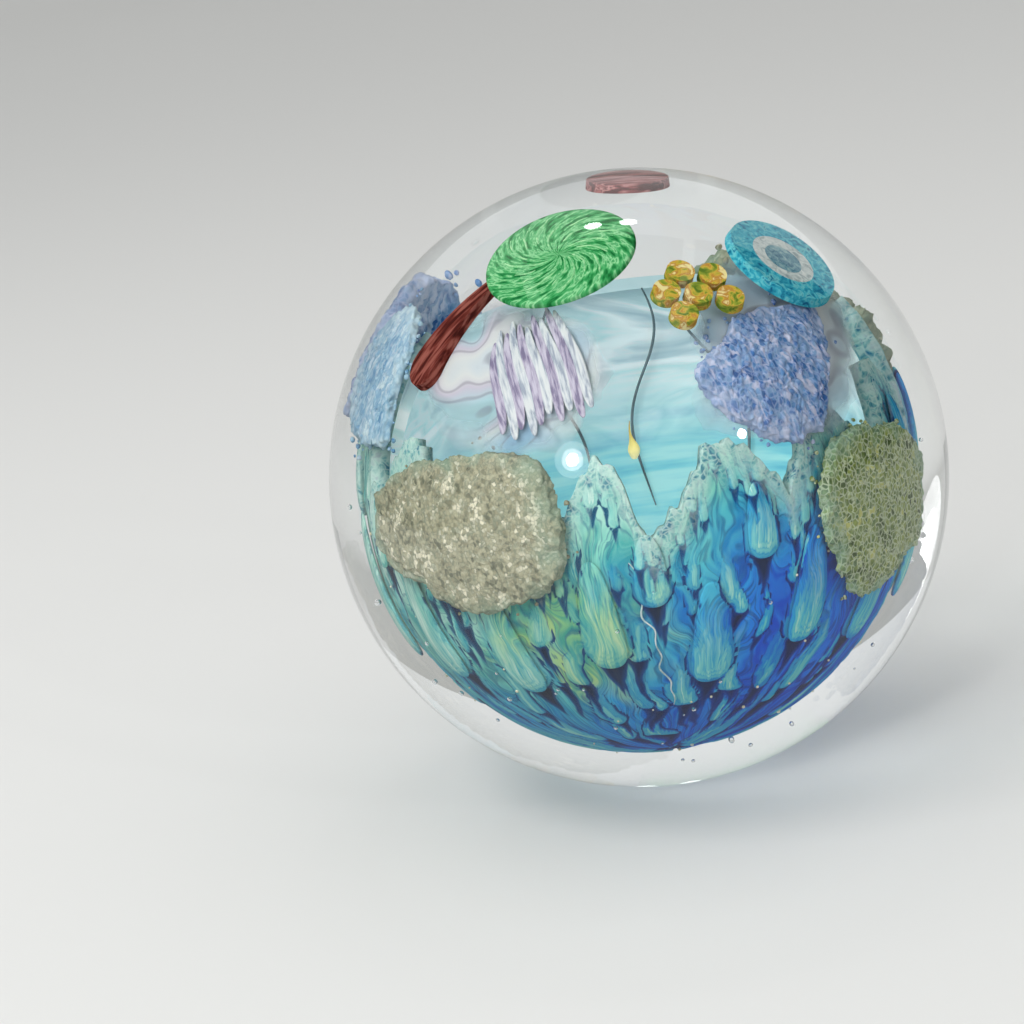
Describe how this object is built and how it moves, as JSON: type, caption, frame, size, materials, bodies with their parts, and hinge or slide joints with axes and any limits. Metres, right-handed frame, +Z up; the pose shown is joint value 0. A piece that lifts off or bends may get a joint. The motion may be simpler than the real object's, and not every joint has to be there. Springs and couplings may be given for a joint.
{
  "type": "glass paperweight",
  "caption": "Clear glass ball, ground flat underneath, with a blue marbled bowl, aqua runs, crushed-glass pads and slices of patterned cane laid inside it.",
  "frame": {"origin": "middle of the polished flat that the ball stands on", "axes": "+Z up through the ball's middle, -Y towards the front, +X to the viewer's right"},
  "size_m": [0.08, 0.08, 0.0785],
  "materials": {
    "clear_glass": "polished",
    "cobalt_glass": "polished",
    "aqua_glass": "polished",
    "opal_glass": "polished",
    "sand_glass": "grainy",
    "moss_glass": "grainy",
    "heather_glass": "grainy",
    "sky_glass": "grainy",
    "green_glass": "polished",
    "pale_green_glass": "polished",
    "teal_glass": "polished",
    "white_glass": "polished",
    "amber_glass": "polished",
    "rose_glass": "polished",
    "russet_glass": "polished",
    "lilac_glass": "polished",
    "grey_glass": "polished",
    "lemon_glass": "polished"
  },
  "bodies": {
    "root": {"clear_ball": "clear_glass", "cobalt_bowl": "cobalt_glass", "aqua_runs": "aqua_glass", "opal_veil": "opal_glass", "sand_pad": "sand_glass", "moss_pad": "moss_glass", "heather_pad": "heather_glass", "sky_pad": "sky_glass", "rear_sand_pad": "sand_glass", "rear_heather_pad": "heather_glass", "green_slice": "green_glass", "green_slice_threads": "pale_green_glass", "teal_slice": "teal_glass", "teal_slice_ring": "white_glass", "teal_slice_eye": "cobalt_glass", "amber_chips": "amber_glass", "rose_slice": "rose_glass", "russet_streak": "russet_glass", "lilac_stripes": "lilac_glass", "white_stripes": "white_glass", "grey_threads": "grey_glass", "lemon_bead": "lemon_glass"}
  },
  "joints": []
}
